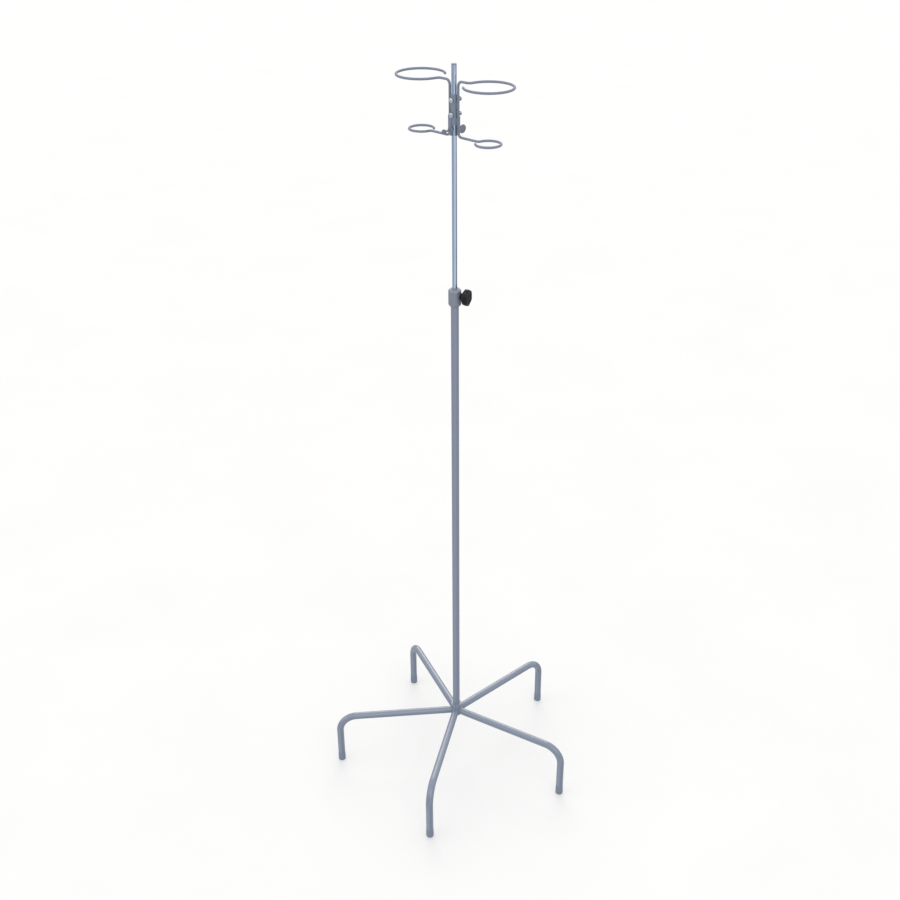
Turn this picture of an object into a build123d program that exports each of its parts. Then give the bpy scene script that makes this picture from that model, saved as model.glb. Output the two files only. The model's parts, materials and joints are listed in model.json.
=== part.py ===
from build123d import *
import os
from math import asin, cos, degrees, radians, sin, sqrt

# Floor stand for infusion bottles: a five-legged tube base, a fixed column, a sliding inner pole
# locked by a star knob, and a clamp head that carries two wire bottle holders.
# Millimetres, +Z up, origin on the floor at the pole's axis. Leg 1 points along -Y.

# ---------------------------------------------------------------- driving dimensions
TOTAL_HEIGHT = 2033.0

TUBE_R = 10.0            # legs and column, 20 mm tube
TUBE_WALL = 1.5
LEG_COUNT = 5
FIRST_LEG_ANGLE = -90.0
LEG_HEIGHT = 163.0       # centre line of the level run
LEG_REACH = 346.0        # pole axis to the centre line of the vertical drop
LEG_BEND_R = 50.0

FOOT_CAP_R = 10.5
FOOT_CAP_TALL = 28.0
FOOT_CAP_FLOOR = 4.0

HUB_R = 15.5
HUB_BOTTOM = 150.0
HUB_TOP = 188.0

COLUMN_TOP = 1494.0
COLLAR_R = 16.0
COLLAR_BOTTOM = 1452.0
COLLAR_TOP = 1498.0
COLLAR_LIP_R = 12.4
COLLAR_FOOT_TALL = 6.0     # height of the cone at the collar's foot
COLLAR_SHOULDER_TALL = 4.5
BUSH_TALL = 34.0
BUSH_LIP_TALL = 1.5

POLE_R = 6.0
POLE_WALL = 1.2
POLE_BOTTOM = 1020.2
SLIDE_GAP = 0.08         # radial clearance of the sliding fits

KNOB_ANGLE = -12.0
KNOB_HEIGHT = 1480.0
KNOB_LOBES = 6
KNOB_R = 21.0
KNOB_HEAD_THICK = 12.0
KNOB_REACH = 22.8        # from the collar's surface to the knob's face
KNOB_GAP = 0.3           # between the collar and the knob's neck
KNOB_NECK_R = 7.0        # at the collar; the neck widens to KNOB_NECK_WIDE_R at the head
KNOB_NECK_WIDE_R = 13.0
KNOB_CORE_SHARE = 0.88    # the round core between the lobes, as a share of KNOB_R
KNOB_LOBE_SHARE = 0.42    # each lobe's own radius, as a share of KNOB_R
KNOB_EDGE_R = 3.0
KNOB_BORE_FLOOR = 4.0    # plastic left in front of the stud's end
STUD_R = 4.0
KNOB_PAD_END = 10.6      # pole axis to the outer end of the knob's pressure pad

SLEEVE_R = 8.0
SLEEVE_BOTTOM = 1873.0
SLEEVE_TOP = 1966.0
NOTCH_TOP = 1898.0
NOTCH_WIDTH = 6.0
NOTCH_ANGLE = -82.0

WIRE_R = 3.0
HOLDER_ANGLES = {"right": -30.0, "left": 150.0}
WIRE_AXIS = 12.75        # pole axis to the wire's vertical run
UPPER_Z = 1996.0
LOWER_Z = 1871.0
UPPER_BEND_R = 12.0
LOWER_BEND_R = 10.0
UPPER_RING = {"centre": 103.7, "radius": 56.3, "fillet": 12.0, "end": -135.0}
LOWER_RING = {"centre": 103.4, "radius": 28.9, "fillet": 8.0, "end": -139.0}
PAD_HEIGHTS = (1942.0, 1906.0)   # weld pads between the sleeve and each wire
PAD_TALL = 16.0
PAD_THICK = 3.0

CHEEK_THICK = 1.5
CHEEK_TOP = 1918.0
CHEEK_CURL_BOTTOM = 1885.0

SCREW_ANGLE = -120.0     # slotted screws; the wing screw is on the other side
SCREW_HEIGHTS = (1953.0, 1920.0)
SCREW_R = 2.5
SCREW_HEAD_R = 5.4
SCREW_HEAD_TALL = 3.2
SCREW_SLOT_TURN = 35.0   # the driver slots' lean from upright
SCREW_SLOT_WIDTH = 1.8
SCREW_SLOT_DEPTH = 1.6
FRONT_HEAD_START = SLEEVE_R + 1.2
NUT_ACROSS = 8.0
NUT_THICK = 4.0
REAR_HEAD_START = 18.6   # pole axis to the underside of the rear screws' heads

WING_HEIGHT = 1882.0
WING_ANGLE = SCREW_ANGLE + 180.0
WING_SCREW_R = 3.0
WING_BOSS_R = 6.5
WING_BOSS_END = 15.0
WING_PAD_END = 9.0
WING_HUB_START = 17.5
WING_HUB_END = 24.0
WING_TIP = 40.0
WING_SPAN = 20.5
WING_THICK = 3.2
LOCK_HEIGHT = 1887.0
LOCK_SCREW_R = 2.0
LOCK_SCREW_END = 37.0
LOCK_HEAD_R = 5.9
LOCK_HEAD_TALL = 6.0

THREAD_GAP = 0.08        # radial clearance of a stud in its threaded hole
TIP_GAP = 0.1            # clearance between a pressure pad and the pole
STOP_GAP = 0.3           # clearance between a screw's end and what it presses


# The two bosses low on the sleeve, as (angle, height, radius of the bore).
SIDE_BOSSES = (
    (WING_ANGLE, WING_HEIGHT, WING_SCREW_R + THREAD_GAP),
    (SCREW_ANGLE, LOCK_HEIGHT, LOCK_SCREW_R),
)
BOSS_HEIGHTS = {"right": WING_HEIGHT, "left": LOCK_HEIGHT}


# ---------------------------------------------------------------- helpers
def cylinder(radius, low, high):
    """A cylinder about the Z axis between two heights."""
    return Pos(0, 0, low) * Cylinder(radius, high - low, align=(Align.CENTER, Align.CENTER, Align.MIN))


def tube(outer, inner, low, high):
    """A round tube about the Z axis between two heights."""
    return cylinder(outer, low, high) - cylinder(inner, low - 1, high + 1)


def at_angle(angle, shape):
    """Turns a shape about the Z axis."""
    return Rot(0, 0, angle) * shape


def outward(angle, height, shape):
    """Lays a shape that was made along +Z so that it runs outward from the pole's axis."""
    return Pos(0, 0, height) * Rot(0, 0, angle) * Rot(0, 90, 0) * shape


def rod_along(path, radius):
    """A round rod along a chain of lines and arcs that meet smoothly."""
    rod = None
    for edge in path:
        piece = sweep(Plane(origin=edge @ 0, z_dir=edge % 0) * Circle(radius), path=edge)
        rod = piece if rod is None else rod + piece
    return rod


def save(name, shape):
    shape.label = name
    export_step(shape, f"parts/{name}.step")


# ---------------------------------------------------------------- base
def leg_rod(radius):
    """A solid rod along a leg's centre line: a level run, a bend and a drop to the foot cap's floor."""
    bend_x = LEG_REACH - LEG_BEND_R
    bend_z = LEG_HEIGHT - LEG_BEND_R
    path = [
        Line((0, 0, LEG_HEIGHT), (bend_x, 0, LEG_HEIGHT)),
        Plane.XZ * CenterArc((bend_x, bend_z), LEG_BEND_R, 90, -90),
        Line((LEG_REACH, 0, bend_z), (LEG_REACH, 0, FOOT_CAP_FLOOR)),
    ]
    return rod_along(path, radius)


def leg_tube(index):
    """One bent leg, mitred against its neighbours and coped to the hub."""
    half = radians(180.0 / LEG_COUNT)
    far = 2 * LEG_REACH
    side = far * sin(half) / cos(half)
    wedge = extrude(Polygon((0, 0), (far, -side), (far, side), align=None), LEG_HEIGHT + 2 * TUBE_R)
    pipe = (leg_rod(TUBE_R) - leg_rod(TUBE_R - TUBE_WALL)) & wedge
    pipe = pipe - cylinder(HUB_R, 0, HUB_TOP)
    return at_angle(FIRST_LEG_ANGLE + index * 360.0 / LEG_COUNT, pipe)


def foot_cap(index):
    """A slip-on end cap with a rounded lower edge and a flat bottom."""
    cap = fillet(cylinder(FOOT_CAP_R, 0, FOOT_CAP_TALL).edges().group_by(Axis.Z)[0], 3.0)
    cap = fillet(cap.edges().group_by(Axis.Z)[-1], 0.5)
    cap = cap - cylinder(TUBE_R, FOOT_CAP_FLOOR, FOOT_CAP_TALL + 1)
    return at_angle(FIRST_LEG_ANGLE + index * 360.0 / LEG_COUNT, Pos(LEG_REACH, 0, 0) * cap)


def hub_sleeve():
    sleeve = chamfer(cylinder(HUB_R, HUB_BOTTOM, HUB_TOP).edges().filter_by(GeomType.CIRCLE), 1.0)
    return sleeve - cylinder(TUBE_R, HUB_BOTTOM - 1, HUB_TOP + 1)


def column_tube():
    """The fixed tube, with a cross hole near its top for the knob's stud."""
    body = tube(TUBE_R, TUBE_R - TUBE_WALL, HUB_BOTTOM, COLUMN_TOP)
    return body - outward(KNOB_ANGLE, KNOB_HEIGHT, cylinder(STUD_R + 0.4, 0, COLLAR_R))


def column_end_plug():
    """A plastic plug that closes the column's lower end."""
    stopper = cylinder(TUBE_R - TUBE_WALL, HUB_BOTTOM, HUB_BOTTOM + 12)
    rim = fillet(cylinder(TUBE_R - 0.2, HUB_BOTTOM - 2.5, HUB_BOTTOM).edges().group_by(Axis.Z)[0], 1.2)
    return stopper + rim


def clamp_collar():
    """The turned collar on top of the column, with a threaded cross hole for the knob."""
    outline = Polyline(
        (0, COLLAR_BOTTOM), (TUBE_R + 0.4, COLLAR_BOTTOM), (COLLAR_R, COLLAR_BOTTOM + COLLAR_FOOT_TALL),
        (COLLAR_R, COLLAR_TOP - COLLAR_SHOULDER_TALL), (COLLAR_LIP_R, COLLAR_TOP), (0, COLLAR_TOP),
        close=True,
    )
    blank = revolve(Plane.XZ * make_face(outline), Axis.Z)
    blank = blank - cylinder(TUBE_R, COLLAR_BOTTOM - 1, COLLAR_TOP + 1)
    return blank - outward(KNOB_ANGLE, KNOB_HEIGHT, cylinder(STUD_R + 1.5, 0, 2 * COLLAR_R))


def knob_insert():
    """The brass threaded bush pressed into the collar."""
    bush = tube(STUD_R + 1.5, STUD_R + THREAD_GAP, TUBE_R - 1.0, COLLAR_R + 1.0)
    collar = cylinder(COLLAR_R, COLLAR_BOTTOM, COLLAR_TOP)
    column = cylinder(TUBE_R, COLLAR_BOTTOM, COLLAR_TOP)
    return (outward(KNOB_ANGLE, KNOB_HEIGHT, bush) & collar) - column


def collar_guide_bush():
    """The nylon bush that guides the inner pole in the column's mouth."""
    body = cylinder(TUBE_R - TUBE_WALL, COLUMN_TOP - BUSH_TALL, COLUMN_TOP)
    lip = cylinder(TUBE_R, COLUMN_TOP, COLLAR_TOP + BUSH_LIP_TALL)
    lip = chamfer(lip.edges().group_by(Axis.Z)[-1], 0.8)
    bush = body + lip - cylinder(POLE_R + SLIDE_GAP, COLUMN_TOP - BUSH_TALL - 1, COLLAR_TOP + 5)
    return bush - outward(KNOB_ANGLE, KNOB_HEIGHT, cylinder(STUD_R - 0.7, 0, TUBE_R))


# ---------------------------------------------------------------- height knob
def pressure_pad(angle, height, radius, reach):
    """The loose pad at a screw's end; its nose is shaped to the pole."""
    slug = chamfer(cylinder(radius, POLE_R - 2.0, reach).edges().group_by(Axis.Z)[-1], 0.3)
    return outward(angle, height, slug) - cylinder(POLE_R + TIP_GAP, height - 10, height + 10)


def knob_pad():
    return pressure_pad(KNOB_ANGLE, KNOB_HEIGHT, STUD_R - 0.9, KNOB_PAD_END)


def knob_stud():
    """The M8 stud moulded into the knob."""
    stud = cylinder(STUD_R, KNOB_PAD_END + STOP_GAP, COLLAR_R + KNOB_REACH - KNOB_BORE_FLOOR)
    return outward(KNOB_ANGLE, KNOB_HEIGHT, chamfer(stud.edges().group_by(Axis.Z)[0], 0.8))


def rounded_disc(radius, low, high, edge):
    """A short cylinder with both rims rounded."""
    return fillet(cylinder(radius, low, high).edges().filter_by(GeomType.CIRCLE), edge)


def knob_head():
    """A lobed star head on a tapered neck."""
    front = COLLAR_R + KNOB_REACH
    back = front - KNOB_HEAD_THICK
    neck_start = COLLAR_R + KNOB_GAP
    lobe_r = KNOB_LOBE_SHARE * KNOB_R
    body = rounded_disc(KNOB_CORE_SHARE * KNOB_R, back, front, KNOB_EDGE_R)
    for step in range(KNOB_LOBES):
        lobe = Pos(KNOB_R - lobe_r, 0, 0) * rounded_disc(lobe_r, back, front, KNOB_EDGE_R)
        body = body + Rot(0, 0, step * 360.0 / KNOB_LOBES) * lobe
    neck_tall = back + 2 - neck_start
    body = body + Pos(0, 0, neck_start + neck_tall / 2) * Cone(KNOB_NECK_R, KNOB_NECK_WIDE_R, neck_tall)
    body = body - cylinder(STUD_R, 0, front - KNOB_BORE_FLOOR)
    return outward(KNOB_ANGLE, KNOB_HEIGHT, body)


# ---------------------------------------------------------------- inner pole
def guide_plug():
    """The nylon plug on the pole's lower end; it slides in the column."""
    low = POLE_BOTTOM - 10.2
    plug = cylinder(TUBE_R - TUBE_WALL - SLIDE_GAP, low, POLE_BOTTOM + 30)
    plug = chamfer(plug.edges().filter_by(GeomType.CIRCLE), 0.8)
    plug = plug - cylinder(POLE_R + SLIDE_GAP, POLE_BOTTOM - 0.2, POLE_BOTTOM + 40)
    return plug - cylinder(2.0 + SLIDE_GAP, low - 1, POLE_BOTTOM)


def inner_pole():
    return tube(POLE_R, POLE_R - POLE_WALL, POLE_BOTTOM, TOTAL_HEIGHT - 2.0)


def pole_top_cap():
    """A domed cap that closes the pole's upper end."""
    dome = fillet(cylinder(POLE_R, TOTAL_HEIGHT - 2.0, TOTAL_HEIGHT).edges().group_by(Axis.Z)[-1], 1.6)
    return dome + cylinder(POLE_R - POLE_WALL, TOTAL_HEIGHT - 12.0, TOTAL_HEIGHT - 2.0)


def pole_end_insert():
    """A steel slug in the pole's lower end that holds the rivet."""
    slug = cylinder(POLE_R - POLE_WALL, POLE_BOTTOM, POLE_BOTTOM + 14)
    return slug - cylinder(2.0, POLE_BOTTOM - 1, POLE_BOTTOM + 10)


def pole_end_rivet():
    """The rivet that keeps the guide plug on the pole but lets the pole turn in it."""
    low = POLE_BOTTOM - 10.2 - STOP_GAP
    head = fillet(cylinder(4.2, low - 2.6, low).edges().group_by(Axis.Z)[0], 1.6)
    return head + cylinder(2.0, low, POLE_BOTTOM + 10)


# ---------------------------------------------------------------- clamp head
def ring_turn(ring, height, start_x):
    """A level run along +X, an S-bend and an open ring, as one line in the holder's own frame."""
    centre = ring["centre"]
    radius = ring["radius"]
    bend = ring["fillet"]
    bend_x = centre - sqrt((radius + bend) ** 2 - bend ** 2)
    join = degrees(asin(bend / (radius + bend)))
    run = Line((start_x, 0, height), (bend_x, 0, height))
    turn = CenterArc((bend_x, bend, height), bend, -90, 90 - join)
    loop = CenterArc((centre, 0, height), radius, 180 - join, ring["end"] - 180 + join)
    return [run, turn, loop]


def wire_path():
    """One holder's centre line: the large ring above, the vertical run and the small ring below."""
    upper = ring_turn(UPPER_RING, UPPER_Z, WIRE_AXIS + UPPER_BEND_R)
    lower = ring_turn(LOWER_RING, LOWER_Z, WIRE_AXIS + LOWER_BEND_R)
    top_bend = Plane.XZ * CenterArc(
        (WIRE_AXIS + UPPER_BEND_R, UPPER_Z - UPPER_BEND_R), UPPER_BEND_R, 90, 90
    )
    low_bend = Plane.XZ * CenterArc(
        (WIRE_AXIS + LOWER_BEND_R, LOWER_Z + LOWER_BEND_R), LOWER_BEND_R, 180, 90
    )
    upright = Line((WIRE_AXIS, 0, LOWER_Z + LOWER_BEND_R), (WIRE_AXIS, 0, UPPER_Z - UPPER_BEND_R))
    return upper + [top_bend, upright, low_bend] + lower


def bottle_holder():
    """The bent wire, with rounded ends, in the holder's own frame."""
    wire = rod_along(wire_path(), WIRE_R)
    for ring, height in ((UPPER_RING, UPPER_Z), (LOWER_RING, LOWER_Z)):
        end = Pos(ring["centre"], 0, height) * Rot(0, 0, ring["end"]) * Pos(ring["radius"], 0, 0)
        wire = wire + end * Sphere(WIRE_R)
    return wire


def head_sleeve():
    """The tube that slides on the pole, with bosses for its screws and a notch at its foot."""
    sleeve = cylinder(SLEEVE_R, SLEEVE_BOTTOM, SLEEVE_TOP)
    sleeve = chamfer(sleeve.edges().filter_by(GeomType.CIRCLE), 0.5)
    for height in SCREW_HEIGHTS:
        sleeve = sleeve + outward(SCREW_ANGLE, height, cylinder(SCREW_HEAD_R, 0, FRONT_HEAD_START))
    for angle, height, radius in SIDE_BOSSES:
        sleeve = sleeve + outward(angle, height, cylinder(WING_BOSS_R, 0, WING_BOSS_END))
    slot = Pos(SLEEVE_R, 0, (SLEEVE_BOTTOM + NOTCH_TOP) / 2 - 1)
    slot = slot * Box(SLEEVE_R, NOTCH_WIDTH, NOTCH_TOP - SLEEVE_BOTTOM + 2)
    sleeve = sleeve - at_angle(NOTCH_ANGLE, slot)
    for height in SCREW_HEIGHTS:
        sleeve = sleeve - outward(SCREW_ANGLE, height, cylinder(SCREW_R, -2 * SLEEVE_R, 2 * SLEEVE_R))
    for angle, height, radius in SIDE_BOSSES:
        sleeve = sleeve - outward(angle, height, cylinder(radius, 0, WING_BOSS_END + 1))
    return sleeve - cylinder(POLE_R + SLIDE_GAP, SLEEVE_BOTTOM - 1, SLEEVE_TOP + 1)


def weld_pads(wire):
    """The two small pads that join a wire's upright to the sleeve."""
    pads = None
    for height in PAD_HEIGHTS:
        pad = Pos(WIRE_AXIS / 2 + 3, 0, height) * Box(WIRE_AXIS - 6, PAD_THICK, PAD_TALL)
        pads = pad if pads is None else pads + pad
    return pads - cylinder(SLEEVE_R, SLEEVE_BOTTOM, SLEEVE_TOP) - wire


def cheek_plate(wire, boss_height):
    """The bent plate that runs from the sleeve's side round the wire's upright, cut for the boss on that side."""
    lean = asin((SLEEVE_R - WIRE_R) / WIRE_AXIS)
    normal = Vector(sin(lean), cos(lean), 0)
    along = Vector(cos(lean), -sin(lean), 0)
    sleeve_side = normal * SLEEVE_R - along * 2.0
    wire_side = Vector(WIRE_AXIS, 0, 0) + normal * WIRE_R
    outer = normal * CHEEK_THICK
    corners = [sleeve_side, wire_side, wire_side + outer, sleeve_side + outer]
    flat = Polygon(*[(corner.X, corner.Y) for corner in corners], align=None)
    plate = extrude(Pos(0, 0, SLEEVE_BOTTOM) * flat, CHEEK_TOP - SLEEVE_BOTTOM)
    ring = Circle(WIRE_R + CHEEK_THICK) - Circle(WIRE_R)
    reach = 3 * WIRE_R
    start = radians(90) - lean
    sector = Polygon(
        (0, 0), (reach * cos(start), reach * sin(start)), (reach, reach * 0.6), (reach, -reach * 0.6),
        align=None,
    )
    curl = extrude(Pos(WIRE_AXIS, 0, CHEEK_CURL_BOTTOM) * (ring & sector), CHEEK_TOP - CHEEK_CURL_BOTTOM)
    cheek = (plate + curl) - cylinder(SLEEVE_R, SLEEVE_BOTTOM, SLEEVE_TOP) - wire
    for height in SCREW_HEIGHTS:
        cheek = cheek - outward(90, height, cylinder(SCREW_HEAD_R, 0, 3 * SLEEVE_R))
    return cheek - outward(90, boss_height, cylinder(WING_BOSS_R, 0, 3 * SLEEVE_R))


def slotted_screw(start, head_start):
    """A pan-head screw along +Z with a driver slot."""
    shank = cylinder(SCREW_R, start, head_start)
    head = cylinder(SCREW_HEAD_R, head_start, head_start + SCREW_HEAD_TALL)
    head = fillet(head.edges().group_by(Axis.Z)[-1], 1.6)
    slot = Box(3 * SCREW_HEAD_R, SCREW_SLOT_WIDTH, 2 * SCREW_SLOT_DEPTH)
    return shank + (head - Pos(0, 0, head_start + SCREW_HEAD_TALL) * slot)


def slotted_pair(angle, head_start):
    """The same screw at both screw heights, run in to just short of the pole."""
    screw = Rot(0, 0, SCREW_SLOT_TURN) * slotted_screw(POLE_R + TIP_GAP, head_start)
    return Compound(children=[outward(angle, height, screw) for height in SCREW_HEIGHTS])


def front_screws():
    """The slotted screws in front, seated on the sleeve's bosses."""
    return slotted_pair(SCREW_ANGLE, FRONT_HEAD_START)


def rear_nut():
    """A hexagon nut along +Z, seated on the sleeve."""
    circumradius = NUT_ACROSS / sqrt(3)
    nut = extrude(Pos(0, 0, SLEEVE_R - 2) * RegularPolygon(circumradius, 6), NUT_THICK + 2)
    return nut - cylinder(SCREW_R, 0, 2 * SLEEVE_R)


def rear_nuts():
    sleeve = cylinder(SLEEVE_R, SLEEVE_BOTTOM, SLEEVE_TOP)
    return Compound(children=[outward(WING_ANGLE, height, rear_nut()) - sleeve for height in SCREW_HEIGHTS])


def rear_screws():
    """The slotted screws opposite, run in through the welded nuts."""
    return slotted_pair(WING_ANGLE, REAR_HEAD_START)


def lock_screw():
    """The round-headed screw opposite the wing screw."""
    head_start = LOCK_SCREW_END - LOCK_HEAD_TALL
    shank = cylinder(LOCK_SCREW_R, POLE_R + TIP_GAP, head_start + 1.0)
    head = cylinder(LOCK_HEAD_R, head_start, LOCK_SCREW_END)
    head = fillet(head.edges().group_by(Axis.Z)[-1], 2.0)
    return outward(SCREW_ANGLE, LOCK_HEIGHT, shank + head)


def wing_pad():
    return pressure_pad(WING_ANGLE, WING_HEIGHT, WING_SCREW_R - 0.4, WING_PAD_END)


def wing_screw():
    """The screw with a flat oval blade, turned by finger and thumb to free the head."""
    shank = cylinder(WING_SCREW_R, WING_PAD_END + STOP_GAP, WING_HUB_START + 1)
    shank = chamfer(shank.edges().group_by(Axis.Z)[0], 0.5)
    hub_tall = WING_HUB_END - WING_HUB_START
    hub = Pos(0, 0, WING_HUB_START + hub_tall / 2) * Cone(5.0, 3.6, hub_tall)
    blade_tall = WING_TIP - WING_HUB_START
    oval = Pos(0, WING_TIP - blade_tall / 2) * Ellipse(WING_SPAN / 2, blade_tall / 2)
    blade = extrude(oval, WING_THICK / 2, both=True)
    blade = chamfer(blade.edges().group_by(Axis.Z)[-1] + blade.edges().group_by(Axis.Z)[0], 0.7)
    return outward(WING_ANGLE, WING_HEIGHT, shank + hub + Rot(90, 0, 0) * blade)


# ---------------------------------------------------------------- write every node
os.makedirs("parts", exist_ok=True)

for number in range(LEG_COUNT):
    save(f"leg_tube_{number + 1}", leg_tube(number))
    save(f"foot_cap_{number + 1}", foot_cap(number))

HOLDER = bottle_holder()
for side, angle in HOLDER_ANGLES.items():
    save(f"bottle_holder_{side}", at_angle(angle, HOLDER))
    save(f"weld_pads_{side}", at_angle(angle, weld_pads(HOLDER)))
    save(f"cheek_plate_{side}", at_angle(angle, cheek_plate(HOLDER, BOSS_HEIGHTS[side])))

for maker in (
    hub_sleeve, column_tube, column_end_plug, clamp_collar, knob_insert, collar_guide_bush,
    knob_pad, knob_stud, knob_head,
    guide_plug, inner_pole, pole_top_cap, pole_end_insert, pole_end_rivet,
    head_sleeve, front_screws, rear_nuts, rear_screws, lock_screw, wing_pad, wing_screw,
):
    save(maker.__name__, maker())
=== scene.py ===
import json
from math import asin, cos, degrees, pi, radians, sin, sqrt, tan

import bmesh
import bpy
from mathutils import Matrix, Vector


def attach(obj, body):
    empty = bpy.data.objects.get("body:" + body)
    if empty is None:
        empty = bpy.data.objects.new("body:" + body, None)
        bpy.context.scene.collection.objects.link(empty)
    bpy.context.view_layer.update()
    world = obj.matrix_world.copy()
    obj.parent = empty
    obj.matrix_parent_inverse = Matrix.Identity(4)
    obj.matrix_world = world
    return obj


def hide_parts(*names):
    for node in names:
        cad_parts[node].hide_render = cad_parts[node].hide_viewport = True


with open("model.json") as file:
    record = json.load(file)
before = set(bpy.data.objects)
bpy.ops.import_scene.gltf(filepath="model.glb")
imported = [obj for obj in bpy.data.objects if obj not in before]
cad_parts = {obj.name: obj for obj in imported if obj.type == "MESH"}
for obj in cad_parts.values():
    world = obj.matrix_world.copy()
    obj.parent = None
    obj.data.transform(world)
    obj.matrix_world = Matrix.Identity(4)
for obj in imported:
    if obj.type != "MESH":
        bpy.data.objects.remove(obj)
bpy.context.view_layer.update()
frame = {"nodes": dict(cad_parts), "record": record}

MM = 0.001

# ---------------------------------------------------------------- view
CAMERA_PLACE = Vector((0.6036, -2.7158, 2.6173))
CAMERA_HEADING = 102.82      # degrees from +X, seen from above
CAMERA_TILT = 29.44          # degrees below level
CAMERA_ROLL = -0.36
CAMERA_LENS = 48.82          # millimetres on a 36 mm sensor


def add_camera():
    """The camera, turned by heading, tilt and roll, in that order."""
    heading = radians(CAMERA_HEADING)
    tilt = radians(CAMERA_TILT)
    roll = radians(CAMERA_ROLL)
    forward = Vector((cos(heading) * cos(tilt), sin(heading) * cos(tilt), -sin(tilt)))
    side = forward.cross(Vector((0, 0, 1))).normalized()
    up = side.cross(forward)
    side_rolled = side * cos(roll) + up * sin(roll)
    up_rolled = up * cos(roll) - side * sin(roll)
    turn = Matrix((side_rolled, up_rolled, -forward)).transposed()
    data = bpy.data.cameras.new("camera")
    data.sensor_width = 36.0
    data.lens = CAMERA_LENS
    data.clip_end = 100.0
    camera = bpy.data.objects.new("camera", data)
    camera.matrix_world = Matrix.Translation(CAMERA_PLACE) @ turn.to_4x4()
    bpy.context.scene.collection.objects.link(camera)
    bpy.context.scene.camera = camera


# ---------------------------------------------------------------- materials
NOISE_LOW = 0.3              # noise hardly leaves these two values
NOISE_HIGH = 0.7
DRIFT_SCALE = 9.0
GRAIN_DEPTH = 0.05           # millimetres
COAT_ROUGHNESS = 0.12


def new_material(name):
    """A material with its node tree and shader."""
    material = bpy.data.materials.new(name)
    material.use_nodes = True
    return material, material.node_tree, material.node_tree.nodes["Principled BSDF"]


def noise(tree, scale, detail=3.0, stretch=(1, 1, 1)):
    """Noise in the object's own space."""
    place = tree.nodes.new("ShaderNodeTexCoord")
    mapping = tree.nodes.new("ShaderNodeMapping")
    mapping.inputs["Scale"].default_value = stretch
    texture = tree.nodes.new("ShaderNodeTexNoise")
    texture.inputs["Scale"].default_value = scale
    texture.inputs["Detail"].default_value = detail
    texture.inputs["Roughness"].default_value = 0.55
    tree.links.new(place.outputs["Object"], mapping.inputs["Vector"])
    tree.links.new(mapping.outputs["Vector"], texture.inputs["Vector"])
    return texture.outputs["Fac"]


def spread(tree, source, low, high):
    """Noise stretched over a range of values."""
    shift = tree.nodes.new("ShaderNodeMapRange")
    shift.inputs["From Min"].default_value = NOISE_LOW
    shift.inputs["From Max"].default_value = NOISE_HIGH
    shift.inputs["To Min"].default_value = low
    shift.inputs["To Max"].default_value = high
    tree.links.new(source, shift.inputs["Value"])
    return shift.outputs["Result"]


def two_tone(tree, source, dark, light):
    """Noise as a drift between two colours."""
    ramp = tree.nodes.new("ShaderNodeValToRGB")
    ramp.color_ramp.elements[0].position = NOISE_LOW
    ramp.color_ramp.elements[0].color = (*dark, 1)
    ramp.color_ramp.elements[1].position = NOISE_HIGH
    ramp.color_ramp.elements[1].color = (*light, 1)
    tree.links.new(source, ramp.inputs["Fac"])
    return ramp.outputs["Color"]


def surface(
    name, dark, light, metallic, rough, grain, stretch=(1, 1, 1), bump=0.1, coat=0.0, gloss=0.5,
):
    """A procedural finish: broad tone drift, fine grain in colour, roughness and relief."""
    material, tree, shader = new_material(name)
    drift = noise(tree, DRIFT_SCALE, 4.0)
    fine = noise(tree, grain, 5.0, stretch)
    tree.links.new(two_tone(tree, drift, dark, light), shader.inputs["Base Color"])
    tree.links.new(spread(tree, fine, rough[0], rough[1]), shader.inputs["Roughness"])
    relief = tree.nodes.new("ShaderNodeBump")
    relief.inputs["Strength"].default_value = bump
    relief.inputs["Distance"].default_value = GRAIN_DEPTH * MM
    tree.links.new(fine, relief.inputs["Height"])
    tree.links.new(relief.outputs["Normal"], shader.inputs["Normal"])
    shader.inputs["Metallic"].default_value = metallic
    shader.inputs["Specular IOR Level"].default_value = gloss
    shader.inputs["Coat Weight"].default_value = coat
    shader.inputs["Coat Roughness"].default_value = COAT_ROUGHNESS
    return material


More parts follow.
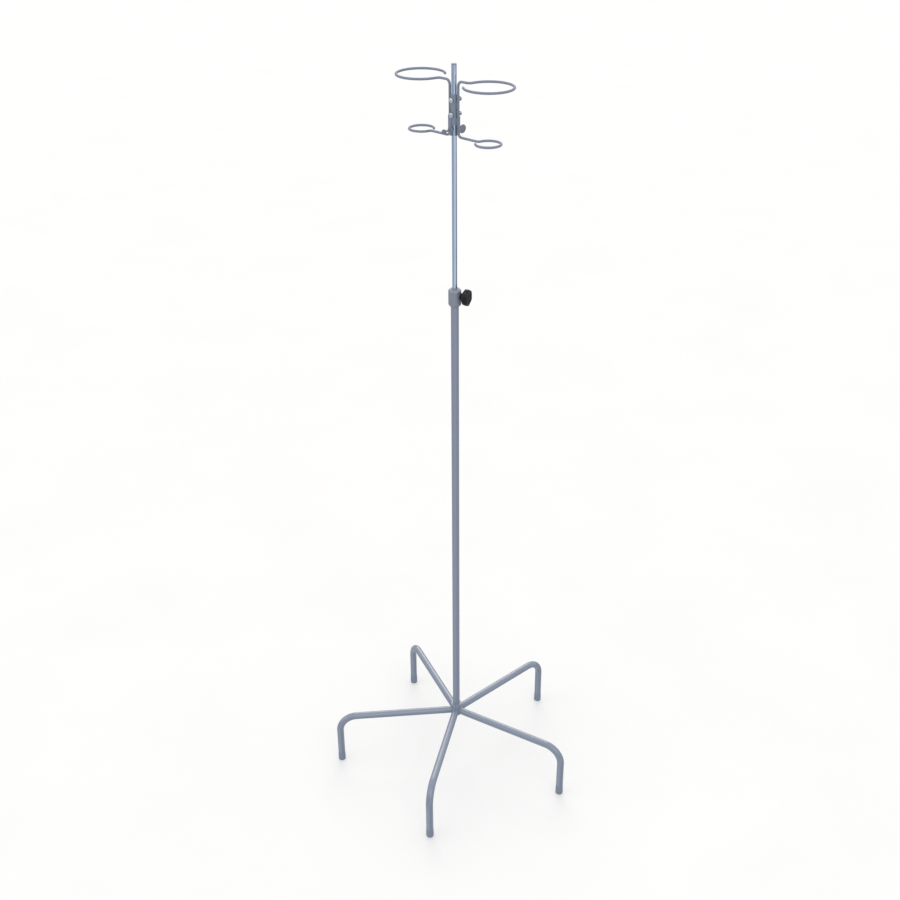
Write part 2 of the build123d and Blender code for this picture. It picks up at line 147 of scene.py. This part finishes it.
MATERIALS = {
    "painted_tube": surface(
        "painted_tube", (0.160, 0.194, 0.262), (0.176, 0.210, 0.278), 0.0, (0.36, 0.48), 900,
        bump=0.2, coat=1.0,
    ),
    "foot_plastic": surface(
        "foot_plastic", (0.160, 0.194, 0.262), (0.178, 0.212, 0.280), 0.0, (0.45, 0.6), 1400, bump=0.4
    ),
    "collar_metal": surface(
        "collar_metal", (0.198, 0.220, 0.268), (0.222, 0.244, 0.292), 0.25, (0.32, 0.46), 500,
        (1, 1, 14), bump=0.2,
    ),
    "brass": surface("brass", (0.24, 0.19, 0.11), (0.30, 0.24, 0.14), 1.0, (0.35, 0.5), 600),
    "nylon": surface("nylon", (0.16, 0.20, 0.25), (0.19, 0.23, 0.28), 0.0, (0.35, 0.5), 700),
    "knob_plastic": surface(
        "knob_plastic", (0.004, 0.0045, 0.0055), (0.008, 0.0085, 0.0095), 0.0, (0.34, 0.5), 1600,
        bump=0.5, gloss=0.25,
    ),
    "zinc_steel": surface("zinc_steel", (0.62, 0.64, 0.68), (0.75, 0.77, 0.80), 1.0, (0.16, 0.30), 900),
    "pole_chrome": surface(
        "pole_chrome", (0.48, 0.545, 0.68), (0.52, 0.585, 0.72), 1.0, (0.10, 0.18), 1500,
        (1, 1, 0.02), bump=0.06,
    ),
    "head_steel": surface(
        "head_steel", (0.19, 0.228, 0.29), (0.22, 0.258, 0.32), 0.3, (0.36, 0.5), 700,
        (1, 1, 0.2), bump=0.2,
    ),
    "wire_steel": surface(
        "wire_steel", (0.175, 0.197, 0.26), (0.20, 0.222, 0.285), 0.2, (0.36, 0.48), 1100, bump=0.15
    ),
    "wing_metal": surface(
        "wing_metal", (0.165, 0.165, 0.21), (0.215, 0.215, 0.26), 0.3, (0.42, 0.58), 800, bump=0.6
    ),
}

SLOT_OF = {entry["node"]: entry["material_slot"] for entry in frame["record"]["subparts"]}
for name, node in frame["nodes"].items():
    node.data.materials.clear()
    node.data.materials.append(MATERIALS[SLOT_OF[name]])


# ---------------------------------------------------------------- mesh building
def add_piece(name, points, faces, material, body, replaces=(), sharp=40.0):
    """One finished mesh piece, in metres in the part's frame, that rides on a CAD body."""
    mesh = bpy.data.meshes.new(name)
    mesh.from_pydata([tuple(point) for point in points], [], faces)
    mesh.validate()
    build = bmesh.new()
    build.from_mesh(mesh)
    bmesh.ops.remove_doubles(build, verts=build.verts, dist=1e-7)
    bmesh.ops.recalc_face_normals(build, faces=build.faces)
    build.to_mesh(mesh)
    build.free()
    mesh.shade_smooth()
    mesh.set_sharp_from_angle(angle=radians(sharp))
    mesh.materials.append(MATERIALS[material])
    piece = bpy.data.objects.new(name, mesh)
    bpy.context.scene.collection.objects.link(piece)
    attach(piece, body)
    if replaces:
        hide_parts(*replaces)
    return piece


def outward(angle, height):
    """The frame whose +Z runs outward from the pole's axis at a height in millimetres."""
    place = Matrix.Translation((0, 0, height * MM))
    return place @ Matrix.Rotation(radians(angle), 4, "Z") @ Matrix.Rotation(pi / 2, 4, "Y")


def rounded(corners, steps=5):
    """An (r, z) outline in millimetres; each corner is (r, z) or (r, z, radius of its rounding)."""
    outline = []
    for index, corner in enumerate(corners):
        here = Vector(corner[:2])
        radius = corner[2] if len(corner) > 2 else 0.0
        if not radius or index in (0, len(corners) - 1):
            outline.append(here)
            continue
        back = (Vector(corners[index - 1][:2]) - here).normalized()
        ahead = (Vector(corners[index + 1][:2]) - here).normalized()
        half = back.angle(ahead) / 2
        reach = radius / tan(half)
        centre = here + (back + ahead).normalized() * (radius / sin(half))
        start = here + back * reach - centre
        end = here + ahead * reach - centre
        for step in range(steps + 1):
            outline.append(centre + start.slerp(end, step / steps) * radius)
    return [(point.x, point.y) for point in outline]


def turned(outline, segments=64, shape=None):
    """Points and faces of a turned form about +Z; shape(angle, r, z) may bend its radius."""
    rings = []
    points = []
    for radius, height in outline:
        if radius < 1e-6:
            rings.append([len(points)])
            points.append(Vector((0, 0, height)) * MM)
            continue
        ring = []
        for step in range(segments):
            angle = 2 * pi * step / segments
            reach = shape(angle, radius, height) if shape else radius
            ring.append(len(points))
            points.append(Vector((reach * cos(angle), reach * sin(angle), height)) * MM)
        rings.append(ring)
    faces = []
    for low, high in zip(rings, rings[1:]):
        for step in range(segments):
            after = (step + 1) % segments
            if len(low) == 1 and len(high) == 1:
                break
            if len(low) == 1:
                faces.append((low[0], high[after], high[step]))
            elif len(high) == 1:
                faces.append((low[step], low[after], high[0]))
            else:
                faces.append((low[step], low[after], high[after], high[step]))
    return points, faces


def turned_piece(name, corners, place, material, body, replaces=(), segments=64, shape=None, sharp=40.0):
    """A turned form set in place; its outline is given by rounded corners."""
    points, faces = turned(rounded(corners), segments, shape)
    return add_piece(name, [place @ point for point in points], faces, material, body, replaces, sharp)


def swept(line, radius, segments=24, closed=False, ripple=None):
    """Points and faces of a round rod along a smooth line of points in metres."""
    count = len(line)
    tangents = []
    for index in range(count):
        before = line[index - 1] if index or closed else line[index]
        after = line[(index + 1) % count] if index < count - 1 or closed else line[index]
        tangents.append((after - before).normalized())
    side = tangents[0].orthogonal().normalized()
    stations = []
    for index in range(count):
        side = (side - tangents[index] * side.dot(tangents[index])).normalized()
        size = radius * (ripple(index) if ripple else 1.0)
        stations.append((line[index], tangents[index], side.copy(), size))
    if not closed:
        stations = rounded_ends(stations)
    points = []
    for centre, tangent, across, size in stations:
        other = tangent.cross(across)
        for step in range(segments):
            angle = 2 * pi * step / segments
            points.append(centre + (across * cos(angle) + other * sin(angle)) * size * MM)
    faces = []
    spans = len(stations) if closed else len(stations) - 1
    for index in range(spans):
        for step in range(segments):
            here = index * segments
            there = (index + 1) % len(stations) * segments
            after = (step + 1) % segments
            faces.append((here + step, here + after, there + after, there + step))
    if not closed:
        faces.append(tuple(range(segments - 1, -1, -1)))
        faces.append(tuple(range((len(stations) - 1) * segments, len(stations) * segments)))
    return points, faces


def rounded_ends(stations, steps=6):
    """Adds a domed cap to both ends of a rod's stations."""
    first = stations[0]
    last = stations[-1]
    start = []
    end = []
    for step in range(1, steps + 1):
        turn = radians(88.0) * step / steps
        before = first[0] - first[1] * first[3] * sin(turn) * MM
        beyond = last[0] + last[1] * last[3] * sin(turn) * MM
        start.insert(0, (before, first[1], first[2], first[3] * cos(turn)))
        end.append((beyond, last[1], last[2], last[3] * cos(turn)))
    return start + stations + end


def arc_points(centre, radius, start, end, steps):
    """Points in a plane along an arc, angles in degrees, both ends included."""
    return [
        Vector((
            centre[0] + radius * cos(radians(start + (end - start) * step / steps)),
            centre[1] + radius * sin(radians(start + (end - start) * step / steps)),
        ))
        for step in range(steps + 1)
    ]


def joined(*stretches):
    """One line from stretches that meet, without the doubled points."""
    line = []
    for stretch in stretches:
        for point in stretch:
            if not line or (point - line[-1]).length > 1e-6:
                line.append(point)
    return line


def threaded_rod(name, radius, pitch, start, end, place, material, body, replaces=()):
    """A screw thread as a real helix, with plain ends."""
    depth = THREAD_DEPTH_SHARE * pitch
    segments = 32
    steps = max(4, round((end - start) / pitch * 8))
    points = []
    for row in range(steps + 1):
        height = start + (end - start) * row / steps
        fade = min(1.0, row / 4, (steps - row) / 4)
        for step in range(segments):
            angle = 2 * pi * step / segments
            phase = (height / pitch - step / segments) % 1.0
            crest = 1.0 - abs(2.0 * phase - 1.0)
            reach = radius - depth * (1.0 - min(1.0, 1.25 * crest)) * fade - END_CHAMFER * (1.0 - fade)
            points.append(place @ (Vector((reach * cos(angle), reach * sin(angle), height)) * MM))
    faces = []
    for row in range(steps):
        for step in range(segments):
            after = (step + 1) % segments
            here = row * segments
            faces.append((here + step, here + after, here + segments + after, here + segments + step))
    faces.append(tuple(range(segments - 1, -1, -1)))
    faces.append(tuple(range(steps * segments, (steps + 1) * segments)))
    return add_piece(name, points, faces, material, body, replaces, 60.0)


# ---------------------------------------------------------------- sizes, in millimetres and degrees
THREAD_DEPTH_SHARE = 0.54    # of the pitch
END_CHAMFER = 0.35           # on a screw thread's ends

TUBE_R = 10.0
LEG_ANGLES = [-90.0 + 72.0 * step for step in range(5)]
LEG_HEIGHT = 163.0
LEG_REACH = 346.0
HUB_R = 15.5
HUB_TOP = 188.0
HUB_BOTTOM = 150.0
FOOT_CAP_R = 10.5
FOOT_CAP_TALL = 28.0
LEG_WELD_R = 1.2
COLUMN_WELD_R = 1.5

COLLAR_R = 16.0
COLLAR_BOTTOM = 1452.0
COLLAR_TOP = 1498.0
COLLAR_LIP_R = 12.4
COLLAR_FOOT_TALL = 6.0
COLLAR_SHOULDER_TALL = 4.5
BUSH_R = 10.0
BUSH_TOP = 1499.5
BUSH_BOTTOM = COLLAR_TOP - 8.0
SLIDE_GAP = 0.08

POLE_R = 6.0
POLE_BORE_R = 4.8
POLE_TOP = 2033.0
POLE_CAP_TALL = 2.0
POLE_CAP_DEEP = 12.0

KNOB_ANGLE = -12.0
KNOB_HEIGHT = 1480.0
KNOB_LOBES = 6
KNOB_R = 21.0
KNOB_FACE = 38.8
KNOB_BACK = 26.8
KNOB_NECK = 16.2
KNOB_VALLEY = 0.09           # depth of the valleys between lobes, as a share of the radius
STUD_R = 4.0
STUD_START = 11.0
STUD_PITCH = 1.25

HOLDER_ANGLES = {"right": -30.0, "left": 150.0}
WIRE_R = 3.0
WIRE_AXIS = 12.75
UPPER_Z = 1996.0
LOWER_Z = 1871.0
UPPER_BEND_R = 12.0
LOWER_BEND_R = 10.0
UPPER_RING = {"centre": 103.7, "radius": 56.3, "fillet": 12.0, "end": -135.0}
LOWER_RING = {"centre": 103.4, "radius": 28.9, "fillet": 8.0, "end": -139.0}
PAD_HEIGHTS = (1942.0, 1906.0)
PAD_TALL = 16.0
PAD_WELD_R = 1.0
PAD_WELD_REACH = 9.2
PAD_WELD_ASIDE = 1.9
SLEEVE_R = 8.0

SCREW_ANGLE = -120.0
REAR_ANGLE = 60.0
SCREW_HEIGHTS = (1953.0, 1920.0)
SCREW_R = 2.5
SCREW_PITCH = 0.8
SCREW_HEAD_R = 5.4
SCREW_SLOT_TURN = 35.0
SCREW_SLOT_WIDTH = 1.8
SCREW_SLOT_DEPTH = 1.6
SCREW_HEAD_TALL = 3.2
FRONT_HEAD_START = 9.2
REAR_HEAD_START = 18.6
NUT_ACROSS = 8.0
NUT_FACE = 12.0

THUMB_HEIGHT = 1882.0
THUMB_SCREW_R = 3.0
THUMB_PITCH = 1.0
THUMB_BOSS_END = 15.0
THUMB_HUB = (17.5, 24.0)
THUMB_TIP = 40.0
THUMB_SPAN = 20.5
THUMB_HALF_THICK = 1.6
LOCK_HEIGHT = 1887.0
LOCK_SCREW_R = 2.0
LOCK_PITCH = 0.7
LOCK_HEAD_R = 5.9
LOCK_HEAD_TALL = 6.0
LOCK_END = 37.0


# ---------------------------------------------------------------- base
def foot_caps():
    """Slip-on caps: full and rounded at the floor, thinning to a fine lip up the tube."""
    corners = [
        (0, 0), (FOOT_CAP_R, 0, 3.0), (FOOT_CAP_R, FOOT_CAP_TALL * 0.45, 20.0),
        (TUBE_R + 0.25, FOOT_CAP_TALL, 0.2), (TUBE_R, FOOT_CAP_TALL), (TUBE_R, 4.0), (0, 4.0),
    ]
    for number, angle in enumerate(LEG_ANGLES, 1):
        place = Matrix.Rotation(radians(angle), 4, "Z") @ Matrix.Translation((LEG_REACH * MM, 0, 0))
        turned_piece(
            f"foot_cap_skin_{number}", corners, place, "foot_plastic", "base", [f"foot_cap_{number}"],
        )


def weld_bead(name, line, radius, seed, body, material, closed=True):
    """A weld seam with the small ripples that the torch leaves."""

    def ripple(index):
        return 1.0 + 0.10 * sin(index * 1.9 + seed) + 0.06 * sin(index * 0.71 + 2.3 * seed)

    points, faces = swept(line, radius, 12, closed, ripple)
    return add_piece(name, points, faces, material, body, sharp=80.0)


def leg_welds():
    """The seam where each leg's round end meets the hub's round side, and the seam at the column."""
    for number, angle in enumerate(LEG_ANGLES, 1):
        turn = Matrix.Rotation(radians(angle), 4, "Z")
        line = []
        for step in range(72):
            around = 2 * pi * step / 72
            across = TUBE_R * cos(around)
            place = Vector((sqrt(HUB_R ** 2 - across ** 2), across, LEG_HEIGHT + TUBE_R * sin(around)))
            line.append(turn @ place * MM)
        weld_bead(f"leg_weld_{number}", line, LEG_WELD_R, number, "base", "painted_tube")
    ring = []
    for step in range(96):
        around = pi * step / 48
        ring.append(Vector((TUBE_R * cos(around), TUBE_R * sin(around), HUB_TOP)) * MM)
    weld_bead("column_weld", ring, COLUMN_WELD_R, 0.4, "base", "painted_tube")


def hub_skin():
    """The hub with its rims rounded over."""
    corners = [(TUBE_R, HUB_BOTTOM), (HUB_R, HUB_BOTTOM, 1.4), (HUB_R, HUB_TOP, 1.6), (TUBE_R, HUB_TOP)]
    turned_piece("hub_skin", corners, Matrix.Identity(4), "painted_tube", "base", ["hub_sleeve"], 96)


def collar_skin():
    """The turned collar: a short cone at its foot and a rounded shoulder."""
    corners = [
        (TUBE_R, COLLAR_BOTTOM), (TUBE_R + 0.6, COLLAR_BOTTOM, 0.4),
        (COLLAR_R, COLLAR_BOTTOM + COLLAR_FOOT_TALL, 3.0), (COLLAR_R, COLLAR_TOP - COLLAR_SHOULDER_TALL, 3.5),
        (COLLAR_LIP_R, COLLAR_TOP, 2.0), (BUSH_R, COLLAR_TOP),
    ]
    turned_piece("collar_skin", corners, Matrix.Identity(4), "collar_metal", "base", ["clamp_collar"], 96)


def guide_bush_lip():
    """The bush's lip, which stands just above the collar round the pole."""
    corners = [
        (POLE_R + SLIDE_GAP, BUSH_BOTTOM), (POLE_R + SLIDE_GAP, BUSH_TOP, 0.5), (BUSH_R - 0.1, BUSH_TOP, 0.8),
        (BUSH_R - 0.1, BUSH_BOTTOM),
    ]
    turned_piece(
        "guide_bush_lip", corners, Matrix.Identity(4), "nylon", "base", ["collar_guide_bush"], 72,
    )


# ---------------------------------------------------------------- knob
def knob_shape(angle, radius, height):
    """Broad shallow lobes on the head, and a plain round neck."""
    share = min(1.0, max(0.0, (height - KNOB_NECK - 6.0) / (KNOB_BACK - KNOB_NECK - 4.0)))
    share = share * share * (3 - 2 * share)
    share *= min(1.0, max(0.0, (radius / KNOB_R - 0.45) / 0.35))
    valley = (0.5 - 0.5 * cos(KNOB_LOBES * angle)) ** 1.5
    return radius * (1.0 - KNOB_VALLEY * share * valley)


def knob():
    """A bowl-backed star knob with a shallow dish and a seated disc in its face."""
    place = outward(KNOB_ANGLE, KNOB_HEIGHT)
    corners = [
        (STUD_R, KNOB_NECK), (7.6, KNOB_NECK, 0.6), (10.0, KNOB_NECK + 3.5, 4.0),
        (15.5, KNOB_BACK - 3.0, 4.0), (KNOB_R, KNOB_BACK + 0.6, 3.6),
        (KNOB_R, KNOB_FACE - 1.8, 2.4), (17.0, KNOB_FACE, 2.2),
        (9.6, KNOB_FACE - 0.6, 0.5), (9.2, KNOB_FACE - 1.6, 0.4), (8.0, KNOB_FACE - 1.6, 0.4),
        (7.6, KNOB_FACE - 0.7, 0.3), (0, KNOB_FACE - 0.3),
    ]
    turned_piece(
        "star_knob", corners, place, "knob_plastic", "knob", ["knob_head"], 160, knob_shape, 50.0,
    )
    threaded_rod(
        "knob_thread", STUD_R, STUD_PITCH, STUD_START, KNOB_NECK + 1.0, place,
        "zinc_steel", "knob", ["knob_stud"],
    )


# ---------------------------------------------------------------- pole
def pole_cap():
    """The domed end, with the fine dark seam where it meets the tube."""
    seam = POLE_TOP - POLE_CAP_TALL
    bottom = POLE_TOP - POLE_CAP_DEEP
    corners = [
        (0, bottom), (POLE_BORE_R, bottom), (POLE_BORE_R, seam), (POLE_R - 0.5, seam, 0.1),
        (POLE_R - 0.4, seam + 0.5, 0.2), (POLE_R, seam + 0.7, 0.1), (POLE_R, POLE_TOP, 1.0),
        (0, POLE_TOP),
    ]
    turned_piece("pole_end_cap", corners, Matrix.Identity(4), "wire_steel", "pole", ["pole_top_cap"], 64)


# ---------------------------------------------------------------- bottle holders
def ring_line(ring, height, start_x):
    """A level run, an S-bend and an open ring in the holder's own frame, in metres."""
    bend_x = ring["centre"] - sqrt((ring["radius"] + ring["fillet"]) ** 2 - ring["fillet"] ** 2)
    join = degrees(asin(ring["fillet"] / (ring["radius"] + ring["fillet"])))
    run = [Vector((start_x + (bend_x - start_x) * step / 6, 0)) for step in range(7)]
    turn = arc_points((bend_x, ring["fillet"]), ring["fillet"], -90, -join, 12)
    loop = arc_points((ring["centre"], 0), ring["radius"], 180 - join, ring["end"], 120)
    return [Vector((point.x, point.y, height)) * MM for point in joined(run, turn, loop)]


def holder_line():
    """One wire from the large ring's end, down its upright, to the small ring's end."""
    upper = ring_line(UPPER_RING, UPPER_Z, WIRE_AXIS + UPPER_BEND_R)
    lower = ring_line(LOWER_RING, LOWER_Z, WIRE_AXIS + LOWER_BEND_R)
    top_bend = arc_points((WIRE_AXIS + UPPER_BEND_R, UPPER_Z - UPPER_BEND_R), UPPER_BEND_R, 90, 180, 16)
    low_bend = arc_points((WIRE_AXIS + LOWER_BEND_R, LOWER_Z + LOWER_BEND_R), LOWER_BEND_R, 180, 270, 16)
    upright = [Vector((point.x, 0, point.y)) * MM for point in top_bend + low_bend]
    return joined(upper[::-1], upright, lower)


def bottle_holders():
    """The two bent wires and the seams beside their weld pads."""
    line = holder_line()
    for side, angle in HOLDER_ANGLES.items():
        turn = Matrix.Rotation(radians(angle), 4, "Z")
        points, faces = swept([turn @ point for point in line], WIRE_R, 24)
        add_piece(f"bottle_wire_{side}", points, faces, "wire_steel", "head", [f"bottle_holder_{side}"])
        for number, height in enumerate(PAD_HEIGHTS):
            for edge in (-1, 1):
                seam = []
                for step in range(15):
                    rise = height - PAD_TALL / 2 + PAD_TALL * step / 14
                    seam.append(turn @ Vector((PAD_WELD_REACH, PAD_WELD_ASIDE * edge, rise)) * MM)
                name = f"pad_weld_{side}_{number}_{'front' if edge > 0 else 'back'}"
                weld_bead(name, seam, PAD_WELD_R, height + edge, "head", "head_steel", False)


# ---------------------------------------------------------------- screws
def cut_slot(piece, place, width, depth, top, turn):
    """Cuts a straight driver slot across a screw head."""
    bpy.context.view_layer.update()
    mesh = bpy.data.meshes.new("slot")
    build = bmesh.new()
    bmesh.ops.create_cube(build, size=1.0)
    build.to_mesh(mesh)
    build.free()
    cutter = bpy.data.objects.new("slot", mesh)
    bpy.context.scene.collection.objects.link(cutter)
    cutter.matrix_world = (
        place @ Matrix.Rotation(radians(turn), 4, "Z") @ Matrix.Translation((0, 0, top * MM))
        @ Matrix.Diagonal((24 * MM, width * MM, 2 * depth * MM, 1))
    )
    cut = piece.modifiers.new("slot", "BOOLEAN")
    cut.operation = "DIFFERENCE"
    cut.object = cutter
    bpy.context.view_layer.update()
    carved = bpy.data.meshes.new_from_object(piece.evaluated_get(bpy.context.evaluated_depsgraph_get()))
    piece.modifiers.clear()
    piece.data = carved
    bpy.data.objects.remove(cutter)


def pan_screw(name, place, head_start, turn, body, shank_start=None):
    """A slotted pan head, with the thread that shows under it."""
    top = head_start + SCREW_HEAD_TALL
    corners = [
        (0, head_start), (SCREW_HEAD_R, head_start, 0.35), (SCREW_HEAD_R, top - 0.6, 1.2),
        (SCREW_HEAD_R * 0.62, top, 2.0), (0, top + 0.1),
    ]
    piece = turned_piece(name, corners, place, "zinc_steel", body, (), 48, None, 50.0)
    cut_slot(piece, place, SCREW_SLOT_WIDTH, SCREW_SLOT_DEPTH, top + 0.2, turn)
    if shank_start is not None:
        threaded_rod(
            name + "_thread", SCREW_R, SCREW_PITCH, shank_start, head_start + 0.2, place, "zinc_steel", body,
        )
    return piece


def hex_nut(name, place, start, end, body):
    """A hexagon nut: a turned form cut back to six flats."""
    corner_r = NUT_ACROSS / sqrt(3)

    def hexagon(angle, radius, height):
        flat = NUT_ACROSS / 2 / cos((angle + pi / 6) % (pi / 3) - pi / 6)
        return min(radius, flat)

    corners = [
        (SCREW_R, start), (corner_r, start, 0.2), (corner_r, end - 0.6),
        (NUT_ACROSS / 2 + 0.05, end, 0.1), (SCREW_R + 0.4, end, 0.1), (SCREW_R, end - 0.5),
    ]
    return turned_piece(name, corners, place, "zinc_steel", body, (), 72, hexagon, 25.0)


def clamp_screws():
    """The slotted screws in front, and those behind with their nuts."""
    turn = SCREW_SLOT_TURN
    for number, height in enumerate(SCREW_HEIGHTS, 1):
        front = outward(SCREW_ANGLE, height)
        rear = outward(REAR_ANGLE, height)
        pan_screw(f"front_screw_{number}", front, FRONT_HEAD_START, turn, "head")
        pan_screw(f"rear_screw_{number}", rear, REAR_HEAD_START, turn, "head", NUT_FACE - 1)
        hex_nut(f"rear_nut_{number}", rear, SLEEVE_R - 0.6, NUT_FACE, "head")
    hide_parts("front_screws")
    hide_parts("rear_screws")
    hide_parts("rear_nuts")


def lock_screw():
    """The round-headed screw and the thread that shows under its head."""
    place = outward(SCREW_ANGLE, LOCK_HEIGHT)
    start = LOCK_END - LOCK_HEAD_TALL
    corners = [
        (0, start), (LOCK_HEAD_R - 0.8, start, 0.5), (LOCK_HEAD_R, start + 1.0, 0.5),
        (LOCK_HEAD_R, LOCK_END - 0.8, 1.6), (LOCK_HEAD_R * 0.55, LOCK_END, 3.0), (0, LOCK_END),
    ]
    turned_piece("round_head", corners, place, "wing_metal", "head", ["lock_screw"], 56)
    threaded_rod(
        "round_head_thread", LOCK_SCREW_R, LOCK_PITCH, THUMB_BOSS_END - 1, start + 0.2, place,
        "wing_metal", "head",
    )


def thumb_screw():
    """A flat oval blade that thins towards its rim, on a tapered hub and a threaded shank."""
    place = outward(REAR_ANGLE, THUMB_HEIGHT)
    centre = (THUMB_HUB[0] + THUMB_TIP) / 2
    tall = THUMB_TIP - centre
    wide = THUMB_SPAN / 2
    points = []
    rings = 9
    segments = 64
    for row in range(rings + 1):
        turn = pi * row / rings
        share = sin(turn) ** 0.55
        lift = THUMB_HALF_THICK * cos(turn) * (1.0 - 0.15 * share)
        for step in range(segments):
            angle = 2 * pi * step / segments
            size = 0.02 + 0.98 * share
            point = Vector((wide * cos(angle) * size, lift, centre + tall * sin(angle) * size))
            points.append(place @ (point * MM))
    faces = []
    for row in range(rings):
        for step in range(segments):
            after = (step + 1) % segments
            here = row * segments
            faces.append((here + step, here + after, here + segments + after, here + segments + step))
    faces.append(tuple(range(segments - 1, -1, -1)))
    faces.append(tuple(range(rings * segments, (rings + 1) * segments)))
    add_piece("thumb_blade", points, faces, "wing_metal", "wing_screw", ["wing_screw"], 60.0)
    corners = [
        (0, THUMB_HUB[0]), (5.0, THUMB_HUB[0], 0.8), (4.2, (THUMB_HUB[0] + THUMB_HUB[1]) / 2, 3.0),
        (3.0, THUMB_HUB[1] + 1.5, 1.0), (0, THUMB_HUB[1] + 3.0),
    ]
    turned_piece("thumb_hub", corners, place, "wing_metal", "wing_screw")
    threaded_rod(
        "thumb_thread", THUMB_SCREW_R, THUMB_PITCH, SLEEVE_R + 1.4, THUMB_HUB[0] + 0.3, place,
        "zinc_steel", "wing_screw",
    )


foot_caps()
hub_skin()
leg_welds()
collar_skin()
guide_bush_lip()
knob()
pole_cap()
bottle_holders()
clamp_screws()
lock_screw()
thumb_screw()


# ---------------------------------------------------------------- stage
FLOOR_GLOW = 0.30
FLOOR_TONES = (0.503, 0.517)
FLOOR_HALF = 200.0           # metres, half the width of the floor


def add_floor():
    """A plain pale floor with a faint glow of its own, which softens the shadows."""
    material, tree, shader = new_material("floor")
    dark, light = [(tone, tone, tone) for tone in FLOOR_TONES]
    tree.links.new(two_tone(tree, noise(tree, 2.0), dark, light), shader.inputs["Base Color"])
    shader.inputs["Roughness"].default_value = 0.9
    shader.inputs["Specular IOR Level"].default_value = 0.1
    shader.inputs["Emission Color"].default_value = (1, 1, 1, 1)
    shader.inputs["Emission Strength"].default_value = FLOOR_GLOW
    mesh = bpy.data.meshes.new("floor")
    half = FLOOR_HALF
    corners = [(-half, -half, 0), (half, -half, 0), (half, half, 0), (-half, half, 0)]
    mesh.from_pydata(corners, [], [(0, 1, 2, 3)])
    mesh.materials.append(material)
    floor = bpy.data.objects.new("floor", mesh)
    floor.visible_glossy = False
    bpy.context.scene.collection.objects.link(floor)


# The studio round the stand, as (degrees from +X, grey level, how far it leans to blue).
STUDIO_PANELS = [
    (-180, 0.50, 0.06), (-130, 0.55, 0.10), (-90, 0.62, 0.12), (-60, 0.85, 0.14), (-32, 1.30, 0.14),
    (-8, 1.30, 0.12), (18, 0.32, 0.10), (60, 0.20, 0.10), (100, 0.50, 0.02), (140, 0.75, 0.0),
    (165, 0.60, 0.02),
]
PANEL_SLANT = -0.5           # turns the panels back as they rise
PANEL_LEVEL = 0.21           # how far below level they stand at the angles given
CEILING = 1.06


def add_world():
    """Soft panels round the horizon, an even bright ceiling, and white past the floor's edge."""
    world = bpy.data.worlds.new("studio")
    bpy.context.scene.world = world
    world.use_nodes = True
    tree = world.node_tree
    tree.nodes.clear()
    place = tree.nodes.new("ShaderNodeTexCoord")
    radial = tree.nodes.new("ShaderNodeTexGradient")
    radial.gradient_type = "RADIAL"
    slant = tree.nodes.new("ShaderNodeMath")
    slant.operation = "MULTIPLY_ADD"
    slant.inputs[1].default_value = PANEL_SLANT
    level = tree.nodes.new("ShaderNodeMath")
    level.inputs[1].default_value = PANEL_SLANT * PANEL_LEVEL
    wrap = tree.nodes.new("ShaderNodeMath")
    wrap.operation = "FRACT"
    bands = tree.nodes.new("ShaderNodeValToRGB")
    ramp = bands.color_ramp
    ramp.interpolation = "B_SPLINE"
    while len(ramp.elements) < len(STUDIO_PANELS):
        ramp.elements.new(0.5)
    for element, (degree, grey, blue) in zip(ramp.elements, STUDIO_PANELS):
        element.position = degree / 360 + 0.5
        element.color = (grey * (1 - blue), grey, grey * (1 + blue), 1)
    split = tree.nodes.new("ShaderNodeSeparateXYZ")
    rise = tree.nodes.new("ShaderNodeMapRange")
    rise.interpolation_type = "SMOOTHSTEP"
    rise.inputs["From Min"].default_value = 0.0
    rise.inputs["From Max"].default_value = 0.5
    ceiling = tree.nodes.new("ShaderNodeMix")
    ceiling.data_type = "RGBA"
    ceiling.inputs["B"].default_value = (CEILING, CEILING, CEILING, 1)
    rays = tree.nodes.new("ShaderNodeLightPath")
    seen = tree.nodes.new("ShaderNodeMix")
    seen.data_type = "RGBA"
    seen.inputs["B"].default_value = (1, 1, 1, 1)
    background = tree.nodes.new("ShaderNodeBackground")
    background.inputs["Strength"].default_value = 1.0
    output = tree.nodes.new("ShaderNodeOutputWorld")
    tree.links.new(place.outputs["Generated"], radial.inputs["Vector"])
    tree.links.new(place.outputs["Generated"], split.inputs["Vector"])
    tree.links.new(split.outputs["Z"], slant.inputs[0])
    tree.links.new(radial.outputs["Fac"], slant.inputs[2])
    tree.links.new(slant.outputs["Value"], level.inputs[0])
    tree.links.new(level.outputs["Value"], wrap.inputs[0])
    tree.links.new(wrap.outputs["Value"], bands.inputs["Fac"])
    tree.links.new(split.outputs["Z"], rise.inputs["Value"])
    tree.links.new(rise.outputs["Result"], ceiling.inputs["Factor"])
    tree.links.new(bands.outputs["Color"], ceiling.inputs["A"])
    tree.links.new(ceiling.outputs["Result"], seen.inputs["A"])
    tree.links.new(rays.outputs["Is Camera Ray"], seen.inputs["Factor"])
    tree.links.new(seen.outputs["Result"], background.inputs["Color"])
    tree.links.new(background.outputs["Background"], output.inputs["Surface"])


def add_light(name, place, strength, spread, colour=(1, 1, 1)):
    """A soft, distant light that shines from a place towards the origin."""
    data = bpy.data.lights.new(name, "SUN")
    data.energy = strength
    data.angle = radians(spread)
    data.color = colour
    light = bpy.data.objects.new(name, data)
    light.rotation_euler = (-Vector(place)).to_track_quat("-Z", "Y").to_euler()
    bpy.context.scene.collection.objects.link(light)


add_camera()
add_floor()
add_world()
add_light("key", (1.6, -3.0, 2.6), 0.45, 40)
add_light("fill", (-3.2, -1.4, 1.6), 0.35, 50)
add_light("back", (-1.0, 4.2, 3.5), 1.0, 40, (1.0, 0.94, 0.87))

bpy.context.scene.view_settings.view_transform = "Standard"
